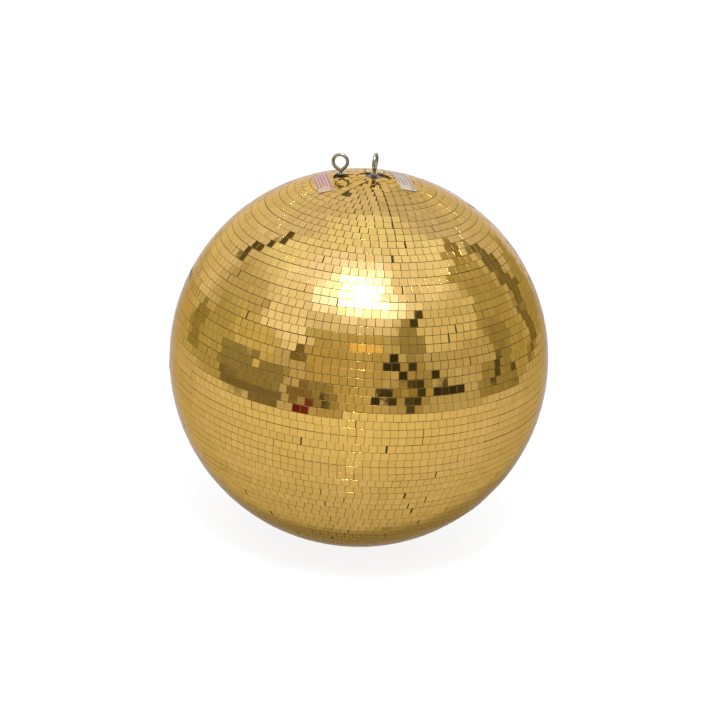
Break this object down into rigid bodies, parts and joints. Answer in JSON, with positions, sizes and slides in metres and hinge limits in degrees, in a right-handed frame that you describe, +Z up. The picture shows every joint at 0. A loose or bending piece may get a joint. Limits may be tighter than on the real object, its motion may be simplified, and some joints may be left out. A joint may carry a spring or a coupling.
{
  "type": "mirror ball",
  "caption": "Hollow round ball faced with small square gold mirrors, hung from a turning eyebolt, with a safety eye beside it.",
  "frame": {"origin": "hook seat of the main eye: the inner top of its wire loop, straight above the ball's centre", "axes": "+Z up along the main eyebolt and the ball's axis of rows; the safety eye is on -X; the pictured side faces -Y"},
  "size_m": [0.5, 0.5, 0.5303],
  "materials": {
    "gold_mirror": "gold-tinted glass facets, polished, bright gold with near-black joints",
    "core_plastic": "dark moulded plastic, matt, seen only in the joints and round the eyes",
    "zinc_steel": "zinc-plated steel, satin, slightly yellow",
    "pink_label_paper": "matt paper label with plain red-pink lines and no lettering",
    "grey_label_paper": "matt paper label with plain dark grey lines and no lettering"
  },
  "bodies": {
    "suspension": {"main_eyebolt": "zinc_steel", "main_top_nut": "zinc_steel", "main_inner_washer": "zinc_steel", "main_inner_nut": "zinc_steel", "main_lock_nut": "zinc_steel"},
    "ball": {"upper_core_shell": "core_plastic", "lower_core_shell": "core_plastic", "equator_joint_ring": "core_plastic", "reinforcement_plate": "zinc_steel", "main_top_washer": "zinc_steel", "safety_top_washer": "zinc_steel", "mirror_band_upper_9": "gold_mirror", "mirror_band_upper_8": "gold_mirror", "mirror_band_upper_7": "gold_mirror", "mirror_band_upper_6": "gold_mirror", "mirror_band_upper_5": "gold_mirror", "mirror_band_upper_4": "gold_mirror", "mirror_band_upper_3": "gold_mirror", "mirror_band_upper_2": "gold_mirror", "mirror_band_upper_1": "gold_mirror", "mirror_band_lower_1": "gold_mirror", "mirror_band_lower_2": "gold_mirror", "mirror_band_lower_3": "gold_mirror", "mirror_band_lower_4": "gold_mirror", "mirror_band_lower_5": "gold_mirror", "mirror_band_lower_6": "gold_mirror", "mirror_band_lower_7": "gold_mirror", "mirror_band_lower_8": "gold_mirror", "mirror_band_lower_9": "gold_mirror", "mirror_band_bottom_cap": "gold_mirror", "left_label": "pink_label_paper", "right_label": "grey_label_paper"},
    "safety_eye": {"safety_eyebolt": "zinc_steel", "safety_top_nut": "zinc_steel", "safety_inner_washer": "zinc_steel", "safety_inner_nut": "zinc_steel", "safety_lock_nut": "zinc_steel"}
  },
  "joints": [
    {"name": "ball_spin", "type": "hinge", "parent": "suspension", "child": "ball", "pos_m": [0, 0, -0.2758], "axis": [0, 0, 1], "continuous": true},
    {"name": "safety_eye_turn", "type": "hinge", "parent": "ball", "child": "safety_eye", "pos_m": [-0.0432, 0, -0.0358], "axis": [0, 0, 1], "continuous": true}
  ]
}
